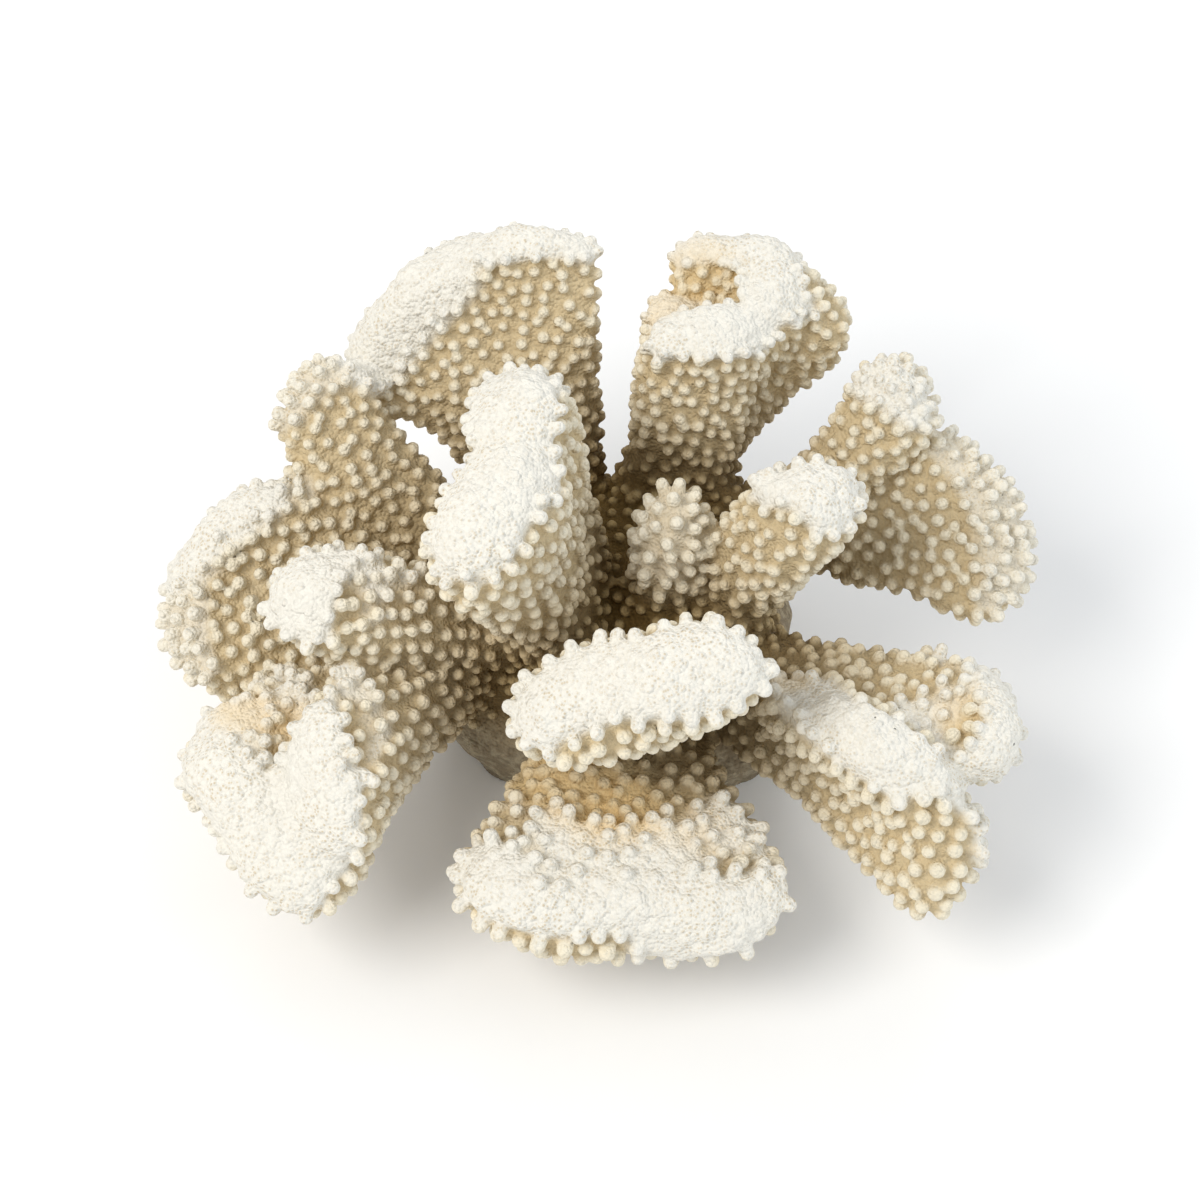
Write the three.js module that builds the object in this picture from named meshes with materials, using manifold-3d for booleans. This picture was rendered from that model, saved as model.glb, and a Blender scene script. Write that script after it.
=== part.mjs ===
// A dried colony of knobby branching coral: thick flattened branches that fork from one
// short holdfast, each ending in a blunt, wandering ridge. Units are millimetres, +Z is up,
// and the origin is the centre of the flat cut under the holdfast, on which the coral stands.
//
// Each branch is a loft whose sections run from a compact root, buried in the holdfast, out
// to the line along the top of its ridge. The rows of small knobs that cover the living
// surface are finer than this solid, which follows their half height.

import * as THREE from "three";
import { LoftGeometry } from "three/addons/geometries/LoftGeometry.js";
import { mergeVertices } from "three/addons/utils/BufferGeometryUtils.js";
import Module from "manifold-3d";

const wasm = await Module();
wasm.setup();

// Driving dimensions, in millimetres.
const STUMP = { halfWide: 39, halfDeep: 33 }; // mean half sizes of the holdfast
const HOLDFAST_TOP = 53; // height where the last branches leave it
const GAP = 0.3; // free space kept between neighbouring solids
const LUMP = { size: 0.9, length: 15 }; // height and spacing of the slow swellings

// How finely the surfaces are divided.
const AROUND = 18; // points in one section of a branch
const ALONG = 5; // sections between the root and the ridge
const ROUNDING = 4; // sections in the rounded ridge itself
const FOOT_SIDES = 30; // points round the holdfast

// How a branch is drawn out.
const SQUARENESS = 2.4; // 2 gives elliptical sections, more gives flatter faces
const PINCH = 0.8; // width halfway up, as a share of the mean of root and ridge
const PROBE = 0.01; // step, as a share of the branch, for measuring directions

// Finish of clean bleached coral skeleton, and of the duller holdfast.
const SKELETON = { color: "#e9e0cf", roughness: 0.9, metalness: 0 };
const OLD_STONE = { color: "#b9ab90", roughness: 0.95, metalness: 0 };

// The holdfast's outline, turned about Z: [radius as a share of its mean size, height].
const HOLDFAST_OUTLINE = [
  [0, 0],
  [0.85, 0],
  [0.93, 3],
  [1.03, 9],
  [1.06, 15],
  [1, 22],
  [0.88, 29],
  [0.8, 37],
  [0.68, 45],
  [0.4, 51],
  [0, HOLDFAST_TOP],
];
const CORNERS = { four: 0.08, three: 0.04, turn: 2.2 }; // how square and how lopsided it is

// Every branch, in the order in which they keep their full shape where two of them touch.
// A branch is one or more lobes. In a lobe, root is the middle of its buried end, across
// the way its width runs there, neck its [width, thickness] there, crest the line along the
// top of its ridge from one end to the other, lip half the ridge's thickness, and bow how
// far its middle stands off the straight way from root to ridge.
const BRANCHES = {
  front_fan: [
    {
      root: [0, -18, 24], across: [1, 0, 0], neck: [30, 20], lip: 10.5, bow: [0, 0, 3],
      crest: [[-36, -70, 37], [-27, -81, 34], [-12, -85, 31], [3, -83, 29], [20, -84, 29], [36, -74, 32]],
    },
  ],
  front_crest: [
    {
      root: [0, -22, 36], across: [1, 0, 0], neck: [26, 18], lip: 12, bow: [0, -2, -2],
      crest: [[-27, -59, 66], [-14, -60, 72], [2, -58, 79], [18, -56, 83], [31, -55, 77]],
    },
  ],
  left_front_fan: [
    {
      root: [-26, -12, 30], across: [0.7, -0.6, -0.2], neck: [18, 18], lip: 10, bow: [-7, 8, 2],
      crest: [[-85, -43, 48], [-86, -54, 44], [-77, -67, 39], [-64, -77, 33], [-52, -77, 31]],
    },
    {
      root: [-26, -12, 34], across: [0.1, -0.6, -0.75], neck: [18, 16], lip: 10, bow: [-6, 7, 0],
      crest: [[-52, -50, 60], [-59, -61, 57], [-58, -70, 47], [-51, -75, 38]],
    },
  ],
  left_fan: [
    {
      root: [-20, -2, 34], across: [-0.3, -0.75, -0.5], neck: [30, 16], lip: 8, bow: [0, 0, -4],
      crest: [[-68, 1, 66], [-82, 1, 62], [-92, -8, 54], [-92, -21, 46], [-86, -29, 38], [-72, -27, 35]],
    },
    {
      root: [-20, 1, 36], across: [-0.3, -0.6, -0.5], neck: [16, 16], lip: 7.5, bow: [0, -3, -5],
      crest: [[-57, 27, 82], [-67, 23, 77], [-71, 14, 71], [-67, 5, 65]],
    },
  ],
  rear_left_fan: [
    {
      root: [-12, 14, 34], across: [1, 0, 0], neck: [20, 18], lip: 7, bow: [1, 4, 4],
      crest: [
        [-55, 23, 67], [-57, 33, 76], [-48, 38, 87], [-40, 42, 94], [-29, 42, 99], [-12, 40, 101], [-3, 36, 98],
      ],
    },
  ],
  rear_right_cup: [
    {
      root: [8, 16, 34], across: [1, 0, 0], neck: [26, 18], lip: 8, bow: [0, 0, 0],
      crest: [[2, 21, 90], [8, 22, 94], [19, 22, 95], [31, 24, 92]],
    },
    {
      root: [12, 20, 36], across: [1, 0, 0], neck: [24, 16], lip: 6, bow: [0, 2, 0],
      crest: [[9, 41, 94], [18, 43, 97], [29, 43, 97], [39, 39, 93]],
    },
    {
      root: [11, 19, 36], across: [0.4, 0.9, 0], neck: [18, 12], lip: 7, bow: [-2, 0, 0],
      crest: [[29, 22, 93], [31, 31, 96], [30, 43, 95]],
    },
    {
      root: [12, 18, 36], across: [0.6, 0, -0.8], neck: [13, 13], lip: 7, bow: [-4, 3, 5],
      crest: [[29, 32, 95], [39, 36, 93], [46, 33, 88], [47, 30, 81], [43, 27, 75]],
    },
    {
      root: [10, 18, 36], across: [1, 0, 0], neck: [24, 16], lip: 8, bow: [0, 0, 0],
      crest: [[4, 30, 91], [15, 33, 87], [27, 33, 86]],
    },
  ],
  right_fan: [
    {
      root: [20, 10, 42], across: [0.2, -0.75, -0.6], neck: [18, 16], lip: 8, bow: [0, 6, 3],
      crest: [[60, 11, 72], [72, 9, 67], [81, 1, 58], [82, -9, 50], [74, -19, 42]],
    },
    {
      root: [20, 5, 38], across: [0.6, -0.5, 0], neck: [16, 12], lip: 8.5, bow: [3, -4, -5],
      crest: [[47, 22, 82], [57, 20, 84], [66, 10, 78]],
    },
  ],
  right_front_fan: [
    {
      root: [18, -16, 28], across: [0.06, -0.46, -0.88], neck: [24, 18], lip: 8, bow: [0, 0, 0],
      crest: [
        [32, -36, 51], [40, -51, 60], [52, -61, 60], [64, -66, 52], [68, -72, 40], [62, -78, 30], [52, -74, 27],
      ],
    },
    {
      root: [20, -14, 32], across: [0.5, 0.85, -0.16], neck: [20, 16], lip: 8, bow: [0, -4, -1],
      crest: [[68, -61, 54], [76, -53, 53], [77, -44, 51], [74, -32, 47], [65, -25, 43]],
    },
  ],
  centre_left_crest: [
    {
      root: [-10, -10, 40], across: [-0.25, -0.97, 0], neck: [24, 20], lip: 10.5, bow: [0, 0, 0],
      crest: [[-15, 7, 101], [-22, -4, 104], [-23, -20, 101]],
    },
    {
      root: [-12, -14, 40], across: [-0.25, -0.97, 0], neck: [26, 20], lip: 11.5, bow: [0, 0, 0],
      crest: [[-20, -10, 101], [-24, -24, 101], [-31, -34, 98], [-35, -44, 90]],
    },
  ],
  centre_right_club: [
    {
      root: [18, -10, 40], across: [0.7, -0.7, 0], neck: [22, 20], lip: 11, bow: [0, 0, 0],
      crest: [[31, -6, 86], [38, -17, 92], [47, -25, 86]],
    },
  ],
  left_club: [
    {
      root: [-20, -14, 42], across: [-0.3, -0.8, -0.5], neck: [22, 18], lip: 10.5, bow: [0, 0, 2],
      crest: [[-62, -20, 76], [-68, -29, 71], [-63, -40, 62]],
    },
  ],
  centre_finger: [
    {
      root: [6, -12, 42], across: [1, 0, 0], neck: [18, 15], lip: 7.5, bow: [0, -1, 0],
      crest: [[3, -11, 74], [10, -10, 79], [17, -11, 76]],
    },
  ],
};

const vector = (point) => new THREE.Vector3(...point);

/** Moves a point along `away` by slow swellings, so that no face is quite even. */
function lumpy(point, away) {
  const turn = (Math.PI * 2) / LUMP.length;
  const wave =
    Math.sin(point.x * turn + point.z * 0.21) +
    Math.sin(point.y * turn + point.x * 0.17) +
    Math.sin(point.z * turn + point.y * 0.19);
  return point.addScaledVector(away, (LUMP.size * wave) / 2);
}

/** A closed geometry as a solid, right way out. */
function solidOf(geometry) {
  const bare = new THREE.BufferGeometry().setIndex(geometry.index);
  bare.setAttribute("position", geometry.attributes.position);
  const merged = mergeVertices(bare, 1e-3);
  const triVerts = new Uint32Array(merged.index.array);
  const vertProperties = merged.attributes.position.array;
  const made = new wasm.Manifold(new wasm.Mesh({ numProp: 3, vertProperties, triVerts }));
  if (made.volume() > 0) return made;
  return new wasm.Manifold(
    new wasm.Mesh({ numProp: 3, vertProperties, triVerts: triVerts.reverse() }),
  );
}

/** The surface halfway through a lobe: u runs across it from -1 to 1, s from root to ridge. */
function middleSurface({ root, across, neck, crest, bow }) {
  const start = vector(root);
  const sideways = vector(across).normalize();
  const ridge = new THREE.CatmullRomCurve3(crest.map(vector), false, "centripetal");
  const ridgeMiddle = ridge.getPoint(0.5);
  return (u, s) => {
    const low = start.clone().addScaledVector(sideways, (u * neck[0]) / 2);
    const high = ridge.getPoint((u + 1) / 2);
    const spread = low.clone().sub(start).add(high).sub(ridgeMiddle);
    const half = start.clone().add(ridgeMiddle).addScaledVector(spread, PINCH).multiplyScalar(0.5);
    return new THREE.QuadraticBezierCurve3(low, half.add(vector(bow)), high).getPoint(s);
  };
}

/** Unit direction through the lobe's thickness at (u, s). */
function throughAt(surface, u, s) {
  const acrossStep = surface(Math.min(u + PROBE, 1), s).sub(surface(Math.max(u - PROBE, -1), s));
  const alongStep = surface(u, Math.min(s + PROBE, 1)).sub(surface(u, Math.max(s - PROBE, 0)));
  return acrossStep.cross(alongStep).normalize();
}

/** The sections of a lobe as [share of the way to the ridge, share of its rounding used up]. */
function stations(length, lip) {
  const shoulder = 1 - lip / length;
  const shaft = Array.from({ length: ALONG }, (_, i) => [(shoulder * i) / ALONG, 0]);
  const dome = Array.from({ length: ROUNDING + 1 }, (_, i) => {
    const angle = (i / ROUNDING) * (Math.PI / 2);
    return [shoulder + (1 - shoulder) * Math.sin(angle), 1 - Math.cos(angle)];
  });
  return [...shaft, ...dome];
}

/** One lobe as a solid, with `grow` millimetres more on every side. */
function lobe(shape, grow) {
  const surface = middleSurface(shape);
  const lip = shape.lip + grow;
  const length = surface(0, 1).distanceTo(surface(0, 0));
  const halfRidge = surface(1, 1).distanceTo(surface(-1, 1)) / 2;
  const power = 2 / SQUARENESS;
  const squared = (value) => Math.sign(value) * Math.abs(value) ** power;

  const section = ([s, rounded]) => {
    const thick = THREE.MathUtils.lerp(shape.neck[1] / 2 + grow, lip, THREE.MathUtils.smoothstep(s, 0, 1));
    const inset = 1 - rounded * Math.min(1, lip / halfRidge);
    return Array.from({ length: AROUND }, (_, i) => {
      const angle = (i / AROUND) * Math.PI * 2;
      const u = squared(Math.cos(angle)) * inset;
      const through = throughAt(surface, u, s);
      const offset = squared(Math.sin(angle)) * thick * (1 - rounded);
      const outward = surface(0, s).sub(surface(0, 0)).normalize();
      return lumpy(surface(u, s).addScaledVector(through, offset), outward);
    });
  };
  const rings = stations(length, lip).map(section);
  const closing = Array.from({ length: AROUND }, (_, i) => {
    const mirrored = rings[0][(AROUND - i) % AROUND];
    return rings[0][i].clone().add(mirrored).multiplyScalar(0.5);
  });
  return solidOf(new LoftGeometry([closing, ...rings]));
}

/** A whole branch: its lobes joined. */
function branch(lobes, grow = 0) {
  return lobes.map((shape) => lobe(shape, grow)).reduce((whole, piece) => whole.add(piece));
}

/** The holdfast, an uneven stump with a flat underside. */
function holdfast(grow = 0) {
  const profile = HOLDFAST_OUTLINE.map(([share, height]) => {
    const radius = share * STUMP.halfWide;
    return new THREE.Vector2(radius && radius + grow, height && height + grow);
  });
  const geometry = new THREE.LatheGeometry(profile, FOOT_SIDES).rotateX(Math.PI / 2);
  const position = geometry.attributes.position;
  const point = new THREE.Vector3();
  for (let i = 0; i < position.count; i++) {
    point.fromBufferAttribute(position, i);
    const side = Math.atan2(point.y, point.x);
    const fourSided = 1 - CORNERS.four * Math.cos(4 * side);
    const reach = fourSided + CORNERS.three * Math.cos(3 * side + CORNERS.turn);
    const deep = STUMP.halfDeep / STUMP.halfWide;
    position.setXYZ(i, point.x * reach, point.y * reach * deep, point.z);
  }
  return solidOf(geometry);
}

/** The largest body of a solid, without the slivers that a cut can leave beside it. */
function mainBody(solid) {
  return solid.decompose().reduce((best, body) => (body.volume() > best.volume() ? body : best));
}

/** A solid as a named mesh with the given finish. */
function meshOf(name, solid, finish) {
  const { vertProperties, triVerts, numProp } = solid.getMesh();
  const vertices = new THREE.InterleavedBuffer(vertProperties, numProp);
  const positions = new Float32Array(vertices.count * 3);
  const packed = new THREE.BufferAttribute(positions, 3);
  for (let i = 0; i < vertices.count; i++) {
    packed.setXYZ(i, ...vertProperties.subarray(i * numProp, i * numProp + 3));
  }
  const geometry = new THREE.BufferGeometry().setAttribute("position", packed);
  geometry.setIndex(new THREE.BufferAttribute(triVerts, 1));
  geometry.computeVertexNormals();
  const mesh = new THREE.Mesh(geometry, new THREE.MeshStandardMaterial(finish));
  mesh.name = name;
  return mesh;
}

const coral = new THREE.Group();
coral.add(meshOf("holdfast", holdfast(), OLD_STONE));

let taken = holdfast(GAP);
for (const [name, lobes] of Object.entries(BRANCHES)) {
  coral.add(meshOf(name, mainBody(branch(lobes).subtract(taken)), SKELETON));
  taken = taken.add(branch(lobes)).add(branch(lobes, GAP));
}

export default coral;
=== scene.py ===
"""A dried colony of knobby branching coral on its flat-cut holdfast.

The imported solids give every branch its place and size. Their common outer surface is
taken into a signed distance volume, rounded where the branches fork, and covered with
its living detail there: rows of knobs on the flanks, fused pore-covered ridges, and a
worn stump. The finished surface is then split back into one closed piece for each branch.

All lengths are in metres, in the same frame as the solids.
"""

from __future__ import annotations

import logging
import math
from dataclasses import dataclass, field
from enum import Enum

import bpy
import numpy as np
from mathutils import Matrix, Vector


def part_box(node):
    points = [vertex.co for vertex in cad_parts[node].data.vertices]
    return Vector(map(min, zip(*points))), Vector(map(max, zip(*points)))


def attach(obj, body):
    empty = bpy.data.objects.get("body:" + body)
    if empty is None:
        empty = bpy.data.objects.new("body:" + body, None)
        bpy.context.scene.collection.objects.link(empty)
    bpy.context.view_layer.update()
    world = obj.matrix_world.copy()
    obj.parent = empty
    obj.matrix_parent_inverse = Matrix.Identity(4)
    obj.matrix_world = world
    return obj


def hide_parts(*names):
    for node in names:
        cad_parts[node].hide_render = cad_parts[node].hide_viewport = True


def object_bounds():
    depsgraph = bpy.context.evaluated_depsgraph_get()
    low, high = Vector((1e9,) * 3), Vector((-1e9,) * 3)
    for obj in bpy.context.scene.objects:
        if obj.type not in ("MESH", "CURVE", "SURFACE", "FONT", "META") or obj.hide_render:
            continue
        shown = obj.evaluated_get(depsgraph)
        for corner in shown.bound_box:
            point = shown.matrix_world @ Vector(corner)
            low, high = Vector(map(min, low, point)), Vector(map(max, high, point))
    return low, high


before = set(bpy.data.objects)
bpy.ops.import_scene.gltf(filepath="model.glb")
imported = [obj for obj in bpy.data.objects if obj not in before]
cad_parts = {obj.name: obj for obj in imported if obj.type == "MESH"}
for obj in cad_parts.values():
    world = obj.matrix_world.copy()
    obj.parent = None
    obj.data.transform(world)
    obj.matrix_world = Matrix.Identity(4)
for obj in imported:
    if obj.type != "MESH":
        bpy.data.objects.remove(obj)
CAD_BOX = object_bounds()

import openvdb
from mathutils import Vector, kdtree

log = logging.getLogger("coral")

MM = 0.001
SEED = 41
ROOT_SHARE = 0.15  # the innermost share of a branch, whose middle is its root
CROWN_FROM, BROW_FROM, FRINGE_FROM = 0.90, 0.55, 0.08  # least ridge for each kind of knob
HOLLOW_FROM = 0.7  # depth in the colony from which flank knobs stay small
Array = np.ndarray


# ---------------------------------------------------------------- small helpers


def smoothstep(value: Array, low: float, high: float) -> Array:
    """Eases a value from 0 to 1.

    Args:
        value: The values.
        low: Where the result leaves 0.
        high: Where it reaches 1.

    Returns:
        One share per value.
    """
    t = np.clip((value - low) / (high - low), 0.0, 1.0)
    return t * t * (3.0 - 2.0 * t)


def unit(vectors: Array) -> Array:
    """Scales each row to length 1."""
    return vectors / np.maximum(np.linalg.norm(vectors, axis=-1, keepdims=True), 1e-9)


def ripples(points: Array, wavelength: float, phase: float) -> Array:
    """A soft, repeatable noise made of crossing waves.

    Args:
        points: Places, one per row.
        wavelength: Typical distance between two swellings.
        phase: Tells one pattern from another.

    Returns:
        Values of about -1 to 1, one per place.
    """
    turn = 2.0 * math.pi / wavelength
    total = np.zeros(points.shape[:-1], np.float32)
    for k in range(5):
        a, b = phase + 2.4 * k, 1.1 * phase + 1.7 * k
        heading = np.array([math.cos(a) * math.sin(b), math.sin(a) * math.sin(b), math.cos(b)])
        stretch = 0.75 + 0.13 * k
        total += np.sin(points @ (heading * turn * stretch).astype(np.float32) + 3.1 * k + phase)
    return total / 3.0


def mesh_arrays(obj: bpy.types.Object) -> tuple[Array, Array]:
    """Reads an object's vertices and triangles.

    Args:
        obj: A mesh object at the origin.

    Returns:
        The vertices, n by 3, and the triangles' vertex numbers, m by 3.
    """
    mesh = obj.data
    mesh.calc_loop_triangles()
    points = np.empty(len(mesh.vertices) * 3, np.float32)
    mesh.vertices.foreach_get("co", points)
    corners = np.empty(len(mesh.loop_triangles) * 3, np.int32)
    mesh.loop_triangles.foreach_get("vertices", corners)
    return points.reshape(-1, 3), corners.reshape(-1, 3).astype(np.uint32)


def largest_part(points: Array, triangles: Array, quads: Array) -> tuple[Array, Array, Array]:
    """Drops every crumb that isn't joined to a mesh's largest part.

    Args:
        points: The mesh's vertices.
        triangles: Its triangles.
        quads: Its quads.

    Returns:
        The vertices, triangles and quads of the largest part.
    """
    edges = np.concatenate(
        [np.stack([f[:, i], f[:, i - 1]], axis=-1) for f in (triangles, quads) for i in range(f.shape[1])]
    )
    part = np.arange(len(points))
    while True:
        lowest = np.minimum(part[edges[:, 0]], part[edges[:, 1]])
        before = part.copy()
        np.minimum.at(part, edges[:, 0], lowest)
        np.minimum.at(part, edges[:, 1], lowest)
        part = part[part][part[part]]
        if (part == before).all():
            break
    kept = part == np.bincount(part).argmax()
    number = np.cumsum(kept) - 1
    return points[kept], number[triangles[kept[triangles[:, 0]]]], number[quads[kept[quads[:, 0]]]]


# ---------------------------------------------------------------- volumes


@dataclass
class Lattice:
    """A regular grid of sample places that fills a box."""

    low: Array
    step: float
    shape: tuple[int, int, int]

    @classmethod
    def around(cls, low: Array, high: Array, margin: float, step: float) -> Lattice:
        """Lays a grid over a box.

        Args:
            low: The box's lowest corner.
            high: The box's highest corner.
            margin: Room left on every side.
            step: Distance between neighbouring places.

        Returns:
            The grid.
        """
        counts = np.ceil((high - low + 2.0 * margin) / step).astype(int) + 1
        return cls((low - margin).astype(np.float32), step, tuple(int(n) for n in counts))

    @property
    def high(self) -> Array:
        """The grid's highest corner."""
        return self.low + self.step * (np.array(self.shape) - 1)

    def cropped(self, low: Array, high: Array) -> tuple[Lattice, tuple[slice, slice, slice]]:
        """Takes the part of the grid round a box.

        Args:
            low: The box's lowest corner.
            high: The box's highest corner.

        Returns:
            The smaller grid, and where its places stand in this one.
        """
        first = np.maximum(np.floor((low - self.low) / self.step).astype(int), 0)
        last = np.minimum(np.ceil((high - self.low) / self.step).astype(int) + 1, self.shape)
        block = tuple(slice(int(a), int(b)) for a, b in zip(first, last))
        shape = tuple(int(b - a) for a, b in zip(first, last))
        return Lattice((self.low + first * self.step).astype(np.float32), self.step, shape), block

    def transform(self) -> openvdb.Transform:
        """The grid's places in openvdb's own terms.

        Returns:
            The transform from the grid's counts to metres.
        """
        made = openvdb.createLinearTransform(voxelSize=self.step)
        made.postTranslate(tuple(float(x) for x in self.low))
        return made

    def places(self) -> Array:
        """Lists every place of the grid.

        Returns:
            An array of the grid's shape with a last axis of 3.
        """
        axes = [self.low[i] + self.step * np.arange(n, dtype=np.float32) for i, n in enumerate(self.shape)]
        return np.stack(np.meshgrid(*axes, indexing="ij"), axis=-1)

    def sample(self, values: Array, points: Array) -> Array:
        """Reads values between the grid's places, linearly.

        Args:
            values: An array of the grid's shape, with or without a last axis of channels.
            points: Places, one per row.

        Returns:
            One value, or row of channels, per place.
        """
        local = (points - self.low) / self.step
        local = np.clip(local, 0.0, np.array(self.shape) - 1.001)
        cell = local.astype(np.int32)
        part = (local - cell).astype(np.float32)
        total = 0.0
        for dx in (0, 1):
            for dy in (0, 1):
                for dz in (0, 1):
                    share = np.abs(1 - dx - part[:, 0]) * np.abs(1 - dy - part[:, 1])
                    share = share * np.abs(1 - dz - part[:, 2])
                    corner = values[cell[:, 0] + dx, cell[:, 1] + dy, cell[:, 2] + dz]
                    total = total + (share[:, None] if values.ndim == 4 else share) * corner
        return total

    def slopes(self, values: Array, points: Array) -> Array:
        """Unit direction in which values grow fastest, at each place.

        Args:
            values: An array of the grid's shape.
            points: Places, one per row.

        Returns:
            One direction per place.
        """
        found = []
        for axis in range(3):
            shift = np.zeros(3, np.float32)
            shift[axis] = self.step
            found.append(self.sample(values, points + shift) - self.sample(values, points - shift))
        return unit(np.stack(found, axis=-1))

    def distance_to(self, points: Array, faces: Array, reach: float) -> Array:
        """Signed distance to a closed surface, negative inside, cut off beyond a reach.

        Args:
            points: The surface's vertices.
            faces: Its triangles or quads.
            reach: Largest distance kept on either side.

        Returns:
            An array of the grid's shape.
        """
        shapes = {"triangles": faces} if faces.shape[1] == 3 else {"quads": faces.astype(np.uint32)}
        grid = openvdb.FloatGrid.createLevelSetFromPolygons(
            points, transform=self.transform(), halfWidth=reach / self.step, **shapes
        )
        values = np.zeros(self.shape, np.float32)
        grid.copyToArray(values)
        return values

    def surface(
        self, values: Array, level: float = 0.0, flatness: float = 0.0
    ) -> tuple[Array, Array, Array]:
        """Meshes the places where values cross a level.

        Args:
            values: An array of the grid's shape.
            level: The value that the surface follows.
            flatness: How readily faces merge where the surface is nearly flat.

        Returns:
            The vertices, the triangles and the quads, facing towards larger values.
        """
        cut = 3.0 * self.step
        grid = openvdb.FloatGrid(cut)
        grid.transform = self.transform()
        grid.copyFromArray(np.clip(values - level, -cut, cut))
        points, triangles, quads = grid.convertToPolygons(isovalue=0.0, adaptivity=flatness)
        return points.astype(np.float32), triangles.astype(np.int32), quads.astype(np.int32)

    def blurred(self, values: Array, width: float) -> Array:
        """Blurs values with a Gaussian of the given width.

        Args:
            values: An array of the grid's shape.
            width: The Gaussian's standard deviation.

        Returns:
            The blurred array.
        """
        reach = max(1, int(round(2.5 * width / self.step)))
        offsets = np.arange(-reach, reach + 1)
        weights = np.exp(-0.5 * (offsets * self.step / width) ** 2)
        weights = (weights / weights.sum()).astype(np.float32)
        for axis in range(3):
            padding = [(0, 0)] * 3
            padding[axis] = (reach, reach)
            padded = np.pad(values, padding, mode="edge")
            length = values.shape[axis]
            values = sum(
                weight * np.take(padded, range(i, i + length), axis=axis)
                for i, weight in enumerate(weights)
            )
        return values

    def finer(self, values: Array, lattice: Lattice) -> Array:
        """Carries values over to another grid of places.

        Args:
            values: An array of this grid's shape.
            lattice: The other grid.

        Returns:
            An array of the other grid's shape.
        """
        for axis, count in enumerate(lattice.shape):
            place = (lattice.low[axis] + lattice.step * np.arange(count) - self.low[axis]) / self.step
            place = np.clip(place, 0.0, self.shape[axis] - 1.001)
            cell = place.astype(int)
            share = (place - cell).astype(np.float32)
            share = share.reshape([-1 if i == axis else 1 for i in range(3)])
            before, after = (np.take(values, cell + i, axis=axis) for i in (0, 1))
            values = before * (1 - share) + after * share
        return values


# ---------------------------------------------------------------- the coral's body


@dataclass
class Branch:
    """One node of the frame: a branch, or the holdfast they all leave."""

    node: str
    tag: int
    points: Array
    faces: Array
    root: Array
    length: float

    @classmethod
    def from_frame(cls, node: str, tag: int, heart: Array) -> Branch:
        """Reads a branch from the frame and finds where it leaves the holdfast.

        Args:
            node: The frame's name for it.
            tag: Its number in the colony.
            heart: The middle of the colony, where growth began.

        Returns:
            The branch.
        """
        points, faces = mesh_arrays(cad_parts[node])
        away = np.linalg.norm(points - heart, axis=1)
        root = points[away <= np.quantile(away, ROOT_SHARE)].mean(axis=0)
        return cls(node, tag, points, faces, root, float(np.linalg.norm(points - root, axis=1).max()))


class Crest(Enum):
    """How far a branch has built its blunt, pore-covered ridge."""

    FULL = 1.0
    FADED = 0.5
    NONE = 0.0

    @classmethod
    def of(cls, node: str) -> Crest:
        """Tells which ridge a branch carries.

        Args:
            node: The frame's name for the branch.

        Returns:
            Its ridge.
        """
        if node in ("left_fan", "right_fan"):
            return cls.FADED
        return cls.NONE if node in ("holdfast", "centre_finger") else cls.FULL


@dataclass(frozen=True)
class Stroke:
    """A soft brush stroke over one branch, placed by shares of the branch's own box."""

    node: str
    path: tuple[tuple[float, float, float], ...]
    radius: float
    strength: float

    def weights(self, points: Array) -> Array:
        """How strongly the stroke covers each place.

        Args:
            points: Places, with a last axis of 3.

        Returns:
            One value per place, the strength on the path, falling to 0 at the radius.
        """
        low, high = (np.array(corner, np.float32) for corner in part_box(self.node))
        stops = [low + np.array(share, np.float32) * (high - low) for share in self.path]
        nearest = np.full(points.shape[:-1], 1e9, np.float32)
        for start, end in zip(stops, stops[1:] + stops[-1:]):
            along = end - start
            share = np.clip((points - start) @ along / max(float(along @ along), 1e-12), 0.0, 1.0)
            gap = np.linalg.norm(points - start - share[..., None] * along, axis=-1)
            nearest = np.minimum(nearest, gap)
        return self.strength * (1.0 - smoothstep(nearest / self.radius, 0.35, 1.0))


# Where a branch departs from the general rules for ridge, flank, the heart's brown and painted shade, and
# amber tint.
RIDGE_STROKES = (
    Stroke("centre_finger", ((0.5, 0.4, 0.62), (0.5, 0.4, 1.0)), 14.0 * MM, 0.40),
    Stroke("rear_left_fan", ((0.10, 0.45, 0.66), (0.24, 0.55, 0.80), (0.38, 0.72, 0.89)), 12.0 * MM, 1.0),
    Stroke("left_fan", ((0.26, 0.55, 0.78), (0.14, 0.50, 0.66), (0.05, 0.40, 0.52)), 12.0 * MM, 1.0),
    Stroke("right_fan", ((0.50, 0.80, 0.97), (0.62, 0.66, 0.94)), 9.0 * MM, 0.9),
    Stroke("right_front_fan", ((0.30, 0.60, 0.75), (0.45, 0.35, 0.93), (0.60, 0.25, 0.90)), 9.0 * MM, 1.0),
    Stroke("right_front_fan", ((0.60, 0.25, 0.90), (0.80, 0.30, 0.68), (0.95, 0.33, 0.77)), 9.0 * MM, 1.0),
)
FLANK_STROKES = (
    Stroke("right_front_fan", ((0.68, 0.15, 0.74), (0.77, 0.12, 0.63)), 8.0 * MM, 1.0),
    Stroke("rear_right_cup", ((0.88, 0.70, 0.92), (1.0, 0.45, 0.72)), 9.0 * MM, 1.0),
    Stroke("front_fan", ((0.06, 0.12, 0.52), (0.25, 0.0, 0.46), (0.44, 0.0, 0.46)), 9.0 * MM, 1.0),
    Stroke("front_crest", ((0.30, 0.0, 0.62), (0.48, 0.0, 0.72), (0.62, 0.0, 0.70)), 8.0 * MM, 1.0),
    Stroke("right_front_fan", ((0.56, 0.20, 0.55), (0.72, 0.08, 0.52), (0.78, 0.05, 0.35)), 12.0 * MM, 1.0),
)
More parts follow.
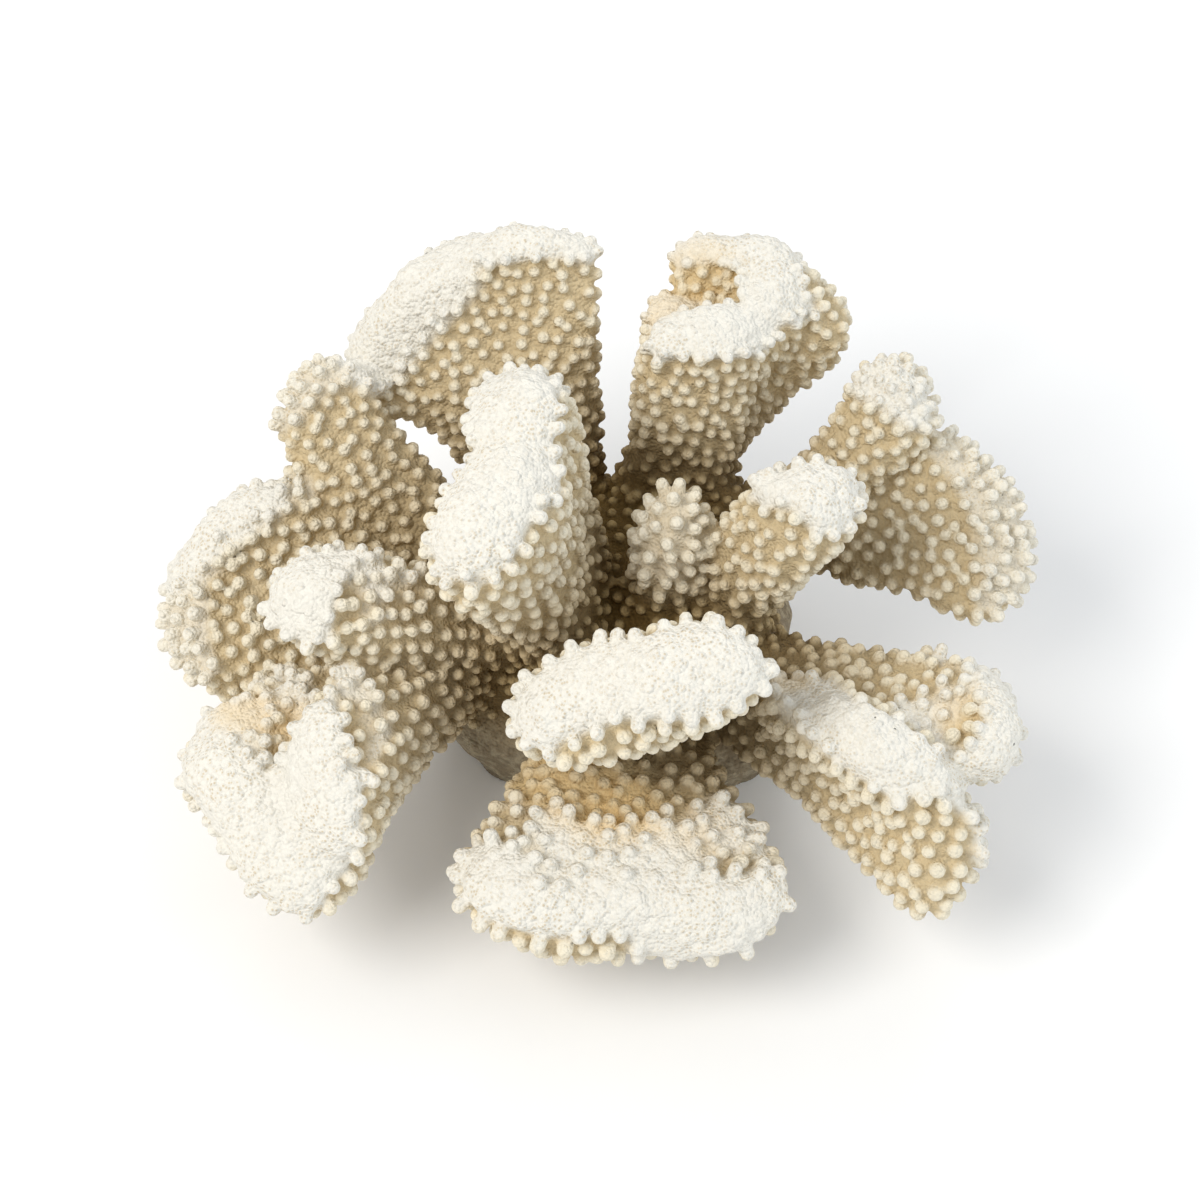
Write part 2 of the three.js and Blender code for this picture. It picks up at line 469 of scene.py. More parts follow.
# Where the heart's brown and painted shade are lifted, so that the finger and club stay cream.
CREAM_STROKES = (
    Stroke("centre_finger", ((0.5, 0.4, 0.60), (0.5, 0.4, 1.0)), 16.0 * MM, 0.85),
    Stroke("centre_right_club", ((0.55, 0.45, 0.60), (0.70, 0.40, 0.90)), 18.0 * MM, 0.6),
)
AMBER_STROKES = (
    Stroke("front_fan", ((0.28, 0.62, 0.88), (0.44, 0.50, 0.90)), 15.0 * MM, 0.70),
    Stroke("front_fan", ((0.50, 0.48, 0.90), (0.70, 0.42, 0.86)), 11.0 * MM, 0.30),
    Stroke("rear_right_cup", ((0.15, 0.62, 0.86), (0.36, 0.72, 0.90)), 12.0 * MM, 0.45),
    Stroke("left_front_fan", ((0.18, 0.52, 0.72), (0.34, 0.46, 0.70)), 9.0 * MM, 0.55),
    Stroke("right_front_fan", ((0.26, 0.64, 0.72),), 9.0 * MM, 0.45),
    Stroke("right_front_fan", ((0.80, 0.48, 0.86),), 8.0 * MM, 0.35),
)


@dataclass
class GrowthForm:
    """The colony's outer shape without its knobs, and the directions it grew in."""

    branches: list[Branch]
    heart: Array
    step: float = 1.0 * MM
    fork_radius: float = 1.2 * MM
    softening: float = 1.1 * MM
    light_seeking: float = 0.70
    mask_softening: float = 0.6 * MM
    swelling: float = 0.7 * MM
    erosion: float = 0.5 * MM
    foot: float = 2.0 * MM
    margin: float = 7.0 * MM
    reach: float = 16.0 * MM
    ridge_facing: tuple[float, float] = (0.38, 0.74)
    ridge_along: tuple[float, float] = (0.45, 0.62)
    worn_heights: tuple[float, float] = (16.0 * MM, 27.0 * MM)
    # Depth towards the heart keeps knobs small in the hollows and darkens the colour there, partly real
    # brown, partly painted shade.
    heart_depths: tuple[float, float] = (24.0 * MM, 80.0 * MM)
    heart_flatness: float = 1.4
    lattice: Lattice = field(init=False)
    body: Array = field(init=False)
    owners: Array = field(init=False)
    ridge: Array = field(init=False)
    worn: Array = field(init=False)

    def __post_init__(self) -> None:
        """Works the shape out in order."""
        low, high = (np.array(corner, np.float32) for corner in CAD_BOX)
        self.lattice = Lattice.around(low, high, self.margin, self.step)
        self.owners = self._owner_distances()
        self.body = self._rounded_forks()
        places = self.lattice.places()
        self.body -= self.swelling * ripples(places, 17.0 * MM, 0.4)
        self.ridge = self._ridge_mask(places)
        self.worn = self._worn_mask(places)
        self.body -= self.erosion * self.worn * ripples(places, 6.5 * MM, 3.3)
        self._square_foot()

    def _owner_distances(self) -> Array:
        """Measures the distance to every branch's own solid.

        Returns:
            One signed distance, or channel, for each branch at each place.
        """
        channels = [self.lattice.distance_to(b.points, b.faces, self.reach) for b in self.branches]
        return np.stack(channels, axis=-1)

    def _rounded_forks(self) -> Array:
        """Joins the solids into one surface and fills their forks with a soft radius.

        Returns:
            Signed distance to the joined surface.
        """
        reach = self.fork_radius + 4.0 * MM
        together = self.owners.min(axis=-1)
        points, _, quads = self.lattice.surface(together, self.fork_radius)
        closed = self.lattice.distance_to(points, quads, reach) + self.fork_radius
        return self.lattice.blurred(closed, self.softening)

    def _ridge_mask(self, places: Array) -> Array:
        """Finds the blunt growing ends.

        Args:
            places: The grid's places.

        Returns:
            1 on the ridges, 0 on the flanks, with an uneven border.
        """
        owner = self.owners.argmin(axis=-1)
        roots = np.stack([b.root for b in self.branches])
        lengths = np.array([b.length for b in self.branches], np.float32)
        growth = places - roots[owner]
        along = np.linalg.norm(growth, axis=-1) / lengths[owner]
        growth = unit(unit(growth) + np.array([0.0, 0.0, self.light_seeking], np.float32))
        outward = unit(np.stack(np.gradient(self.body, self.step), axis=-1))
        facing = (growth * outward).sum(axis=-1)
        facing += 0.05 * ripples(places, 11.0 * MM, 2.2) + 0.04 * ripples(places, 4.5 * MM, 5.1)
        mask = smoothstep(facing, *self.ridge_facing) * smoothstep(along, *self.ridge_along)
        mask *= np.array([Crest.of(b.node).value for b in self.branches], np.float32)[owner]
        for stroke in RIDGE_STROKES:
            mask = np.maximum(mask, stroke.weights(places))
        for stroke in FLANK_STROKES:
            mask = np.minimum(mask, 1.0 - stroke.weights(places))
        return self.lattice.blurred(mask.astype(np.float32), self.mask_softening)

    def _worn_mask(self, places: Array) -> Array:
        """Finds the holdfast's worn outside.

        Args:
            places: The grid's places.

        Returns:
            1 where the stump is worn, 0 where living coral covered it.
        """
        stump = self.owners[..., 0]
        others = self.owners[..., 1:].min(axis=-1)
        own = smoothstep(others - stump, -1.0 * MM, 3.0 * MM)
        return (own * (1.0 - smoothstep(places[..., 2], *self.worn_heights))).astype(np.float32)

    def _square_foot(self) -> None:
        """Carries the section just above the base straight down, so that its cut is flat."""
        heights = self.lattice.low[2] + self.step * np.arange(self.lattice.shape[2])
        first = int(np.searchsorted(heights, self.foot))
        self.body[..., :first] = self.body[..., first : first + 1]

    def depth_at(self, points: Array) -> Array:
        """Tells how deep in the colony places lie.

        Args:
            points: Places, one per row.

        Returns:
            1 in the colony's heart, 0 far out on the branches.
        """
        away = points - self.heart
        away[:, 2] *= np.where(away[:, 2] > 0.0, self.heart_flatness, 1.0)
        return 1.0 - smoothstep(np.linalg.norm(away, axis=1), *self.heart_depths)

    def growth_at(self, points: Array) -> Array:
        """Finds the direction of growth.

        Args:
            points: Places, one per row.

        Returns:
            The unit direction in which the coral grew at each place.
        """
        roots = np.stack([b.root for b in self.branches])
        return unit(points - roots[self.owner_at(points)])

    def owner_at(self, points: Array) -> Array:
        """The number of the branch that each place belongs to."""
        return self.lattice.sample(self.owners, points).argmin(axis=-1)


class KnobKind(Enum):
    """Where a knob stands decides its build: radius, height and lean towards the ridge."""

    FLANK = (1.50 * MM, 0.80 * MM, 0.35)
    HOLLOW = (1.35 * MM, 0.50 * MM, 0.15)
    FRINGE = (1.45 * MM, 1.75 * MM, 0.45)
    BROW = (1.45 * MM, 0.75 * MM, 0.30)
    CROWN = (1.55 * MM, -0.85 * MM, 0.10)

    @property
    def radius(self) -> float:
        """Radius of the knob's shaft."""
        return self.value[0]

    @property
    def height(self) -> float:
        """How far the middle of its rounded tip stands above its foot."""
        return self.value[1]

    @property
    def lean(self) -> float:
        """How strongly it leans the way the branch grew."""
        return self.value[2]

    @classmethod
    def at(cls, ridge: float, inner: float) -> KnobKind:
        """Picks the build for a place.

        Args:
            ridge: 1 on the ridge, 0 on the flank.
            inner: 1 deep in the colony, 0 far out.

        Returns:
            The knob's build.
        """
        if ridge > CROWN_FROM:
            return cls.CROWN
        if ridge > BROW_FROM:
            return cls.BROW
        if ridge > FRINGE_FROM:
            return cls.FRINGE
        return cls.HOLLOW if inner > HOLLOW_FROM else cls.FLANK


@dataclass
class Knob:
    """One rounded, tapering knob."""

    start: Array
    axis: Array
    length: float
    radius: float
    owner: int
    taper: float = 0.12

    def block(self, lattice: Lattice, room: float) -> tuple[slice, slice, slice]:
        """The part of a grid that the knob can change.

        Args:
            lattice: The grid.
            room: Extra distance round the knob.

        Returns:
            One slice for each axis; an empty one if the knob lies outside.
        """
        end = self.start + self.axis * self.length
        reach = self.radius + room
        low = np.floor((np.minimum(self.start, end) - reach - lattice.low) / lattice.step).astype(int)
        high = np.ceil((np.maximum(self.start, end) + reach - lattice.low) / lattice.step).astype(int) + 1
        return tuple(slice(max(a, 0), max(min(b, n), 0)) for a, b, n in zip(low, high, lattice.shape))

    def distances(self, lattice: Lattice, block: tuple[slice, slice, slice]) -> Array:
        """Measures the signed distance to the knob's skin.

        Args:
            lattice: The grid.
            block: The part of the grid that is measured.

        Returns:
            One distance for each place of the block.
        """
        counts = (np.arange(part.start, part.stop, dtype=np.float32) for part in block)
        x, y, z = (lattice.low[i] + lattice.step * n - self.start[i] for i, n in enumerate(counts))
        x, y, z = x[:, None, None], y[None, :, None], z[None, None, :]
        ax, ay, az = (float(v) for v in self.axis)
        along = np.clip(x * ax + y * ay + z * az, 0.0, self.length)
        gap = np.sqrt((x - along * ax) ** 2 + (y - along * ay) ** 2 + (z - along * az) ** 2)
        return gap - self.radius * (1.0 - self.taper * along / self.length)


@dataclass
class KnobCover:
    """The rows of small knobs that cover everything but the worn stump."""

    form: GrowthForm
    spacing: float = 2.75 * MM
    rear_vigour: float = 0.90
    front_vigour: float = 1.22
    fillet: float = 0.7 * MM
    sunk: float = 2.0 * MM
    evening: int = 3
    unevenness: float = 0.10
    wander: float = 0.08
    bare_from: float = 0.45
    knobs: list[Knob] = field(default_factory=list)

    def spread(self, surface_points: Array, outward: Array, rng: np.random.Generator) -> None:
        """Stands evenly spaced knobs on a surface.

        Args:
            surface_points: Close-set places on the surface.
            outward: The surface's direction at each place.
            rng: Source of the random order and of the small differences between knobs.
        """
        order = rng.permutation(len(surface_points))
        chosen = self._dart_throw(surface_points, self._vigour(surface_points), order)
        for _ in range(self.evening):
            chosen = self._centred(surface_points, chosen)
        feet, outward = surface_points[chosen], outward[chosen]
        form, coarse = self.form, self.form.lattice
        ridge, worn = coarse.sample(form.ridge, feet), coarse.sample(form.worn, feet)
        inner, owners = form.depth_at(feet), form.owner_at(feet)
        for foot, normal, way, top, bare, deep, owner, vigour in zip(
            feet, outward, form.growth_at(feet), ridge, worn, inner, owners, self._vigour(feet)
        ):
            size, tall = vigour * rng.uniform(1.0 - self.unevenness, 1.0 + self.unevenness, 2)
            wander = rng.normal(0.0, self.wander, 3)
            if bare > self.bare_from:
                continue
            kind = KnobKind.at(top, deep)
            axis = unit(normal + kind.lean * way + wander).astype(np.float32)
            length = kind.height * tall + self.sunk
            self.knobs.append(Knob(foot - self.sunk * normal, axis, length, kind.radius * size, int(owner)))

    def _vigour(self, points: Array) -> Array:
        """Tells how large knobs grow and how far apart they stand.

        Args:
            points: Places, one per row.

        Returns:
            A scale for each place, more to the front, less to the rear.
        """
        front, rear = CAD_BOX[0][1], CAD_BOX[1][1]
        share = np.clip((points[:, 1] - front) / (rear - front), 0.0, 1.0)
        return self.front_vigour + (self.rear_vigour - self.front_vigour) * share

    def _dart_throw(self, points: Array, vigour: Array, order: Array) -> Array:
        """Keeps a place only if no kept place lies within the spacing.

        Args:
            points: Places, one per row.
            vigour: Scale of the spacing at each place.
            order: The order in which places are tried.

        Returns:
            The numbers of the kept places.
        """
        cells: dict[tuple[int, int, int], list[int]] = {}
        keys = np.floor(points / (self.spacing * self.front_vigour)).astype(int)
        near = [(i, j, k) for i in (-1, 0, 1) for j in (-1, 0, 1) for k in (-1, 0, 1)]
        kept = []
        limits = ((self.spacing * vigour) ** 2).tolist()
        rows = points.tolist()
        for index in order.tolist():
            x, y, z = rows[index]
            limit = limits[index]
            a, b, c = (int(v) for v in keys[index])
            if any(
                (rows[other][0] - x) ** 2 + (rows[other][1] - y) ** 2 + (rows[other][2] - z) ** 2 < limit
                for i, j, k in near
                for other in cells.get((a + i, b + j, c + k), ())
            ):
                continue
            cells.setdefault((a, b, c), []).append(index)
            kept.append(index)
        return np.array(kept)

    def _centred(self, points: Array, chosen: Array) -> Array:
        """Moves each kept place to the middle of the area nearest to it.

        Args:
            points: Places, one per row.
            chosen: The numbers of the kept places.

        Returns:
            The numbers of the places that stand nearest to those middles.
        """
        tree = kdtree.KDTree(len(chosen))
        for number, index in enumerate(chosen):
            tree.insert(points[index], number)
        tree.balance()
        nearest = np.array([tree.find(p)[1] for p in points])
        counts = np.bincount(nearest, minlength=len(chosen))
        middle = np.stack([np.bincount(nearest, points[:, i], len(chosen)) for i in range(3)], axis=-1)
        middle /= np.maximum(counts, 1)[:, None]
        off = np.linalg.norm(points - middle[nearest], axis=1)
        ranked = np.lexsort((off, nearest))
        first = np.searchsorted(nearest[ranked], np.arange(len(chosen)))
        return ranked[np.minimum(first, len(ranked) - 1)]

    def raise_on(self, lattice: Lattice, values: Array) -> None:
        """Melts every knob into a signed distance volume.

        Args:
            lattice: The volume's grid.
            values: The volume, changed in place.
        """
        for knob in self.knobs:
            block = knob.block(lattice, self.fillet + lattice.step)
            here, shape = values[block], knob.distances(lattice, block)
            mix = np.clip(0.5 + 0.5 * (here - shape) / self.fillet, 0.0, 1.0)
            values[block] = here * (1.0 - mix) + shape * mix - self.fillet * mix * (1.0 - mix)

    def claim(self, lattice: Lattice, territory: Array, tag: int) -> None:
        """Gives each knob near a border whole to the branch that it stands on.

        Args:
            lattice: The grid of the territory.
            territory: Signed distance to the branch's border, changed in place.
            tag: The branch's number.
        """
        near = 5.0 * MM
        feet = np.stack([knob.start for knob in self.knobs])
        inside = ((feet > lattice.low - near) & (feet < lattice.high + near)).all(axis=1)
        border = np.abs(lattice.sample(territory, feet)) < near
        for number in np.flatnonzero(inside & border):
            knob = self.knobs[number]
            block = knob.block(lattice, 2.0 * self.fillet)
            shape = knob.distances(lattice, block) - self.fillet
            if not shape.size:
                continue
            here = territory[block]
            territory[block] = np.minimum(here, shape) if knob.owner == tag else np.maximum(here, -shape)


@dataclass
class Skin:
    """The finished surface of the whole colony as a volume, and what its finish needs."""

    form: GrowthForm
    cover: KnobCover
    lattice: Lattice
    bare: Array
    values: Array
    full_height: float = 2.2 * MM

    def marks_at(self, points: Array) -> dict[str, Array]:
        """Values that the finish is mixed from.

        Args:
            points: Places on the skin.

        Returns:
            Named values, one per place.
        """
        coarse = self.form.lattice
        cream = sum(stroke.weights(points) for stroke in CREAM_STROKES)
        return {
            "ridge": coarse.sample(self.form.ridge, points),
            # Knob height: lightens tips and darkens gaps, partly real tone, partly painted translucent glow
            # and painted shade between knobs.
            "knob": np.clip(self.lattice.sample(self.bare, points) / self.full_height, 0.0, 1.0),
            # Heart depth: browns the colour and darkens it as painted shade deep in the colony; the cream
            # strokes lift it.
            "inner": self.form.depth_at(points) * np.clip(1.0 - cream, 0.0, 1.0),
            "worn": coarse.sample(self.form.worn, points),
            "amber": sum(stroke.weights(points) for stroke in AMBER_STROKES),
        }


@dataclass
class Colony:
    """The whole coral: its form, its knobs, and the pieces they are split into."""

    fine_step: float = 0.58 * MM
    valley: float = 1.9 * MM
    crown: float = 0.3 * MM
    heart_height: float = 0.62
    branches: list[Branch] = field(default_factory=list)

    def __post_init__(self) -> None:
        """Reads the branches from the frame, the holdfast first."""
        low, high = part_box("holdfast")
        height = low.z + self.heart_height * (high.z - low.z)
        self.heart = np.array([(low.x + high.x) / 2, (low.y + high.y) / 2, height]).astype(np.float32)
        names = ["holdfast"] + sorted(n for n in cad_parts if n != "holdfast")
        self.branches = [Branch.from_frame(name, tag, self.heart) for tag, name in enumerate(names)]

    def grow(self) -> Skin:
        """Grows the form, stands its knobs and cuts the base flat.

        Returns:
            The skin of the whole colony.
        """
        form = GrowthForm(self.branches, self.heart)
        log.info("growth form ready")
        coarse_skin = form.body + self._offset(form.ridge, form.worn)
        rng = np.random.default_rng(SEED)
        cover = KnobCover(form)
        seeds, _, _ = form.lattice.surface(coarse_skin)
        cover.spread(seeds, form.lattice.slopes(coarse_skin, seeds), rng)
        log.info("%d knobs stand on %d places", len(cover.knobs), len(seeds))

        fine = Lattice.around(form.lattice.low, form.lattice.low, 0.0, self.fine_step)
        fine.shape = tuple(int(n * form.step / self.fine_step) - 1 for n in form.lattice.shape)
        values = form.lattice.finer(coarse_skin, fine)
        bare = values.copy()
        cover.raise_on(fine, values)
        self._cut_flat(fine, values)
        return Skin(form, cover, fine, bare, values)

    def _offset(self, ridge: Array, worn: Array) -> Array:
        """Tells how far the skin lies inside the solids.

        Args:
            ridge: 1 on the ridges, where the skin stands proud.
            worn: 1 on the worn stump, where it follows the solid.

        Returns:
            The depth at each place, deepest between knobs.
        """
        living = self.valley * (1.0 - ridge) - self.crown * ridge
        return living * (1.0 - worn)

    def _cut_flat(self, lattice: Lattice, values: Array) -> None:
        """Cuts the holdfast off at the level on which it stands.

        Args:
            lattice: The volume's grid.
            values: The volume, changed in place.
        """
        heights = lattice.low[2] + lattice.step * np.arange(lattice.shape[2], dtype=np.float32)
        np.maximum(values, -heights[None, None, :], out=values)


# ---------------------------------------------------------------- finishes


@dataclass(frozen=True)
class Tint:
    """A colour, as linear red, green and blue."""

    red: float
    green: float
    blue: float

    @property
    def rgba(self) -> tuple[float, float, float, float]:
        """The colour with full opacity."""
        return (self.red, self.green, self.blue, 1.0)


class NodeBoard:
    """Short ways to lay out a node material."""

    def __init__(self, name: str) -> None:
        """Starts an empty material with its shader and output."""
        self.material = bpy.data.materials.new(name)
        self.material.use_nodes = True
        self.tree = self.material.node_tree
        self.tree.nodes.clear()
        self.shader = self.tree.nodes.new("ShaderNodeBsdfPrincipled")
        output = self.tree.nodes.new("ShaderNodeOutputMaterial")
        self.join(self.shader.outputs["BSDF"], output.inputs["Surface"])
        self.place = self.tree.nodes.new("ShaderNodeTexCoord").outputs["Object"]

    def join(self, source: bpy.types.NodeSocket, target: bpy.types.NodeSocket) -> None:
        """Links two sockets."""
        self.tree.links.new(source, target)

    def feed(self, socket: bpy.types.NodeSocket, value: object) -> None:
        """Sets what a socket receives.

        Args:
            socket: The socket.
            value: Another socket to link it to, a tint, or a fixed number.
        """
        if isinstance(value, bpy.types.NodeSocket):
            self.join(value, socket)
        elif isinstance(value, Tint):
            socket.default_value = value.rgba
        else:
            socket.default_value = value

    def mark(self, name: str) -> bpy.types.NodeSocket:
        """Reads one of the skin's stored values.

        Args:
            name: The value's name.

        Returns:
            The value.
        """
        node = self.tree.nodes.new("ShaderNodeAttribute")
        node.attribute_name = name
        return node.outputs["Fac"]

    def join_numbers(self, kind: str, first: object, second: object) -> bpy.types.NodeSocket:
        """Joins two numbers.

        Args:
            kind: The math operation, in Blender's words.
            first: The first number.
            second: The second number.

        Returns:
            The result.
        """
        node = self.tree.nodes.new("ShaderNodeMath")
        node.operation = kind
        self.feed(node.inputs[0], first)
        self.feed(node.inputs[1], second)
        return node.outputs[0]

    def ramp(self, value: object, low: float, high: float) -> bpy.types.NodeSocket:
        """Eases a value from 0 to 1.

        Args:
            value: The value.
            low: Where the result leaves 0.
            high: Where it reaches 1, which may lie below low.

        Returns:
            The share.
        """
        node = self.tree.nodes.new("ShaderNodeMapRange")
        node.interpolation_type = "SMOOTHSTEP"
        self.feed(node.inputs["Value"], value)
        node.inputs["From Min"].default_value = low
        node.inputs["From Max"].default_value = high
        return node.outputs["Result"]

    def mix(self, share: object, first: object, second: object) -> bpy.types.NodeSocket:
        """Blends two colours.

        Args:
            share: How much of the second colour shows.
            first: The first colour.
            second: The second colour.

        Returns:
            The blend.
        """
        node = self.tree.nodes.new("ShaderNodeMix")
        node.data_type = "RGBA"
        self.feed(node.inputs["Factor"], share)
        self.feed(node.inputs[6], first)
        self.feed(node.inputs[7], second)
        return node.outputs[2]

    def clouds(self, size: float, detail: float = 2.0) -> bpy.types.NodeSocket:
        """Makes soft noise.

        Args:
            size: The size of its swellings.
            detail: How much finer noise it carries.

        Returns:
            The noise.
        """
        node = self.tree.nodes.new("ShaderNodeTexNoise")
        self.join(self.place, node.inputs["Vector"])
        node.inputs["Scale"].default_value = 1.0 / size
        node.inputs["Detail"].default_value = detail
        return node.outputs["Fac"]

    def cells(self, size: float) -> bpy.types.NodeSocket:
        """Measures the distance from the nearest cell's middle, for pores.

        Args:
            size: How far apart the cells are.

        Returns:
            The distance as a share of that size.
        """
        node = self.tree.nodes.new("ShaderNodeTexVoronoi")
        self.join(self.place, node.inputs["Vector"])
        node.inputs["Scale"].default_value = 1.0 / size
        return node.outputs["Distance"]

    def bump(
        self,
        height: object,
        depth: float,
        under: bpy.types.NodeSocket | None = None,
        raised: bool = True,
    ) -> bpy.types.NodeSocket:
        """Turns a height into a tilt of the surface.

        Args:
            height: The height.
            depth: The height that 1 stands for.
            under: A tilt that this one is added to.
            raised: Whether larger values stand proud rather than sunk.

        Returns:
            The tilted direction.
        """
        node = self.tree.nodes.new("ShaderNodeBump")
        node.invert = not raised
        node.inputs["Distance"].default_value = depth
        self.feed(node.inputs["Height"], height)
        if under is not None:
            self.join(under, node.inputs["Normal"])
        return node.outputs["Normal"]


@dataclass(frozen=True)
class CoralFinish:
    """Clean, sun-dried coral skeleton, browner and darker towards the heart, partly its real brown and
    partly painted shade; lighter knob tips and darker gaps between knobs are partly painted translucent
    glow and painted shade.
    """

    crown: Tint = Tint(0.83, 0.80, 0.72)
    crown_shade: Tint = Tint(0.68, 0.585, 0.43)
    # Knob tip and valley: partly real cream and tan, partly painted translucent glow on tips and painted
    # shade between knobs.
    knob_tip_cream_and_glow: Tint = Tint(0.84, 0.765, 0.60)
    # Heart colours: partly the heart's real brown, partly painted shade deep in the colony.
    knob_tip_heart_brown_and_shade: Tint = Tint(0.50, 0.36, 0.165)
    valley: Tint = Tint(0.63, 0.51, 0.315)
    valley_heart_brown_and_shade: Tint = Tint(0.15, 0.09, 0.022)
    amber: Tint = Tint(0.80, 0.60, 0.31)
    speck: Tint = Tint(0.26, 0.25, 0.22)
    stump: Tint = Tint(0.24, 0.19, 0.12)
    stump_pale: Tint = Tint(0.36, 0.30, 0.20)
    grain: float = 0.8 * MM
    drift_size: float = 14.0 * MM
    mottle_size: float = 2.2 * MM
    speck_spacing: float = 10.0 * MM
    speck_size: float = 0.03
    pore_depth: float = 0.45 * MM
    mottle_depth: float = 0.5 * MM
    roughness: tuple[float, float] = (0.72, 0.95)
    tip_glow_and_gap_shade_edges: tuple[float, float] = (0.10, 0.80)
    ridge_edges: tuple[float, float] = (0.10, 0.80)
    pore_edges: tuple[float, float] = (0.44, 0.16)
    drift_edges: tuple[float, float] = (0.70, 0.34)
    stain_edges: tuple[float, float] = (1.6, -0.2)
    stone_edges: tuple[float, float] = (0.4, 0.65)

    def material(self) -> bpy.types.Material:
        """Builds the node material.

        Returns:
            The material, shared by every piece.
        """
        board = NodeBoard("coral_skeleton")
        knob, ridge = board.mark("knob"), board.mark("ridge")
        inner, worn = board.mark("inner"), board.mark("worn")
        pores = board.cells(self.grain)
        drift = board.clouds(self.drift_size, 3.0)
        mottle = board.clouds(self.mottle_size)

        # Towards the heart, gaps and tips turn browner and darker: partly real brown, partly painted shade.
        gap = board.mix(inner, self.valley, self.valley_heart_brown_and_shade)
        tip = board.mix(inner, self.knob_tip_cream_and_glow, self.knob_tip_heart_brown_and_shade)
        # Knob height lightens tips and darkens the gaps between knobs: partly real tone, partly painted
        # translucent glow and painted shade.
        flank = board.mix(board.ramp(knob, *self.tip_glow_and_gap_shade_edges), gap, tip)
        pored = board.join_numbers(
            "MULTIPLY", board.ramp(pores, *self.pore_edges), board.ramp(drift, *self.drift_edges)
        )
        crown = board.mix(pored, self.crown, self.crown_shade)
        specks = board.join_numbers("LESS_THAN", board.cells(self.speck_spacing), self.speck_size)
        crown = board.mix(specks, crown, self.speck)
        living = board.mix(board.ramp(ridge, *self.ridge_edges), flank, crown)
        stain = board.join_numbers("MULTIPLY", board.mark("amber"), board.ramp(knob, *self.stain_edges))
        living = board.mix(stain, living, self.amber)
        stone = board.mix(board.ramp(mottle, *self.stone_edges), self.stump, self.stump_pale)
        board.feed(board.shader.inputs["Base Color"], board.mix(worn, living, stone))

        rough = board.tree.nodes.new("ShaderNodeMapRange")
        board.feed(rough.inputs["Value"], mottle)
        rough.inputs["To Min"].default_value, rough.inputs["To Max"].default_value = self.roughness
        board.feed(board.shader.inputs["Roughness"], rough.outputs["Result"])
        board.shader.inputs["Specular IOR Level"].default_value = 0.3

        pitted = board.bump(pores, self.pore_depth, raised=False)
        board.feed(board.shader.inputs["Normal"], board.bump(mottle, self.mottle_depth, pitted))
        return board.material


# ---------------------------------------------------------------- pieces


@dataclass
class PieceMaker:
    """Splits the colony's skin into one closed piece for each branch."""

    skin: Skin
    branches: list[Branch]
    overlap: float = 0.6 * MM
    dive: float = 0.35
    margin: float = 6.0 * MM
    flatness: float = 0.04

    def build(self, material: bpy.types.Material) -> list[bpy.types.Object]:
        """Makes every piece, dressed and riding its body.

        Args:
            material: The finish of all pieces.

        Returns:
            The pieces, in the branches' order.
        """
        return [self._piece(branch, material) for branch in self.branches]

    def _volume(self, branch: Branch) -> tuple[Lattice, Array, Array]:
        """Cuts one branch's share out of the skin.

        Past its border the piece dives under its neighbour's skin, so that the two
        surfaces cross exactly on the border, and ends at a closed cut face.

        Args:
            branch: The branch.

        Returns:
            A grid round the branch, its volume there, and the signed distance to
            its border.
        """
        form, fine = self.skin.form, self.skin.lattice
        low = branch.points.min(axis=0) - self.margin
        high = branch.points.max(axis=0) + self.margin
        lattice, block = fine.cropped(low, high)
        own = form.owners[..., branch.tag]
        others = np.delete(form.owners, branch.tag, axis=-1).min(axis=-1)
        territory = form.lattice.finer((own - others) / 2.0, lattice)
        self.skin.cover.claim(lattice, territory, branch.tag)
        values = self.skin.values[block] + self.dive * np.maximum(territory, 0.0)
        return lattice, np.maximum(values, territory - self.overlap), territory

    def _piece(self, branch: Branch, material: bpy.types.Material) -> bpy.types.Object:
        """Makes one closed piece.

        Args:
            branch: The branch that it stands for.
            material: Its finish.

        Returns:
            The piece.
        """
        lattice, volume, territory = self._volume(branch)
        points, triangles, quads = lattice.surface(volume, flatness=self.flatness)
        points, triangles, quads = largest_part(points, triangles, quads)
        normals = self.skin.lattice.slopes(self.skin.values, points)
        hidden = lattice.sample(territory, points) > self.overlap / 2.0
        normals[hidden] = lattice.slopes(volume, points[hidden])

        name = f"{branch.node}_skin"
        mesh = bpy.data.meshes.new(name)
        mesh.vertices.add(len(points))
        mesh.vertices.foreach_set("co", points.astype(np.float32).ravel())
        loops = np.concatenate([quads.ravel(), triangles.ravel()]).astype(np.int32)
        mesh.loops.add(len(loops))
        mesh.loops.foreach_set("vertex_index", loops)
        starts = np.concatenate([4 * np.arange(len(quads)), 4 * len(quads) + 3 * np.arange(len(triangles))])
        mesh.polygons.add(len(starts))
        mesh.polygons.foreach_set("loop_start", starts.astype(np.int32))
        mesh.update(calc_edges=True)
        mesh.validate()
        mesh.polygons.foreach_set("use_smooth", np.ones(len(mesh.polygons), bool))
        for mark, values in self.skin.marks_at(points).items():
            layer = mesh.attributes.new(mark, "FLOAT", "POINT")
            layer.data.foreach_set("value", values.astype(np.float32))
        mesh.normals_split_custom_set_from_vertices(normals.astype(np.float32))
        mesh.materials.append(material)
        piece = bpy.data.objects.new(name, mesh)
        bpy.context.scene.collection.objects.link(piece)
        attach(piece, "root")
        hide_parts(branch.node)
        log.info("%s: %d triangles", name, len(triangles) + 2 * len(quads))
        return piece


# ---------------------------------------------------------------- the studio


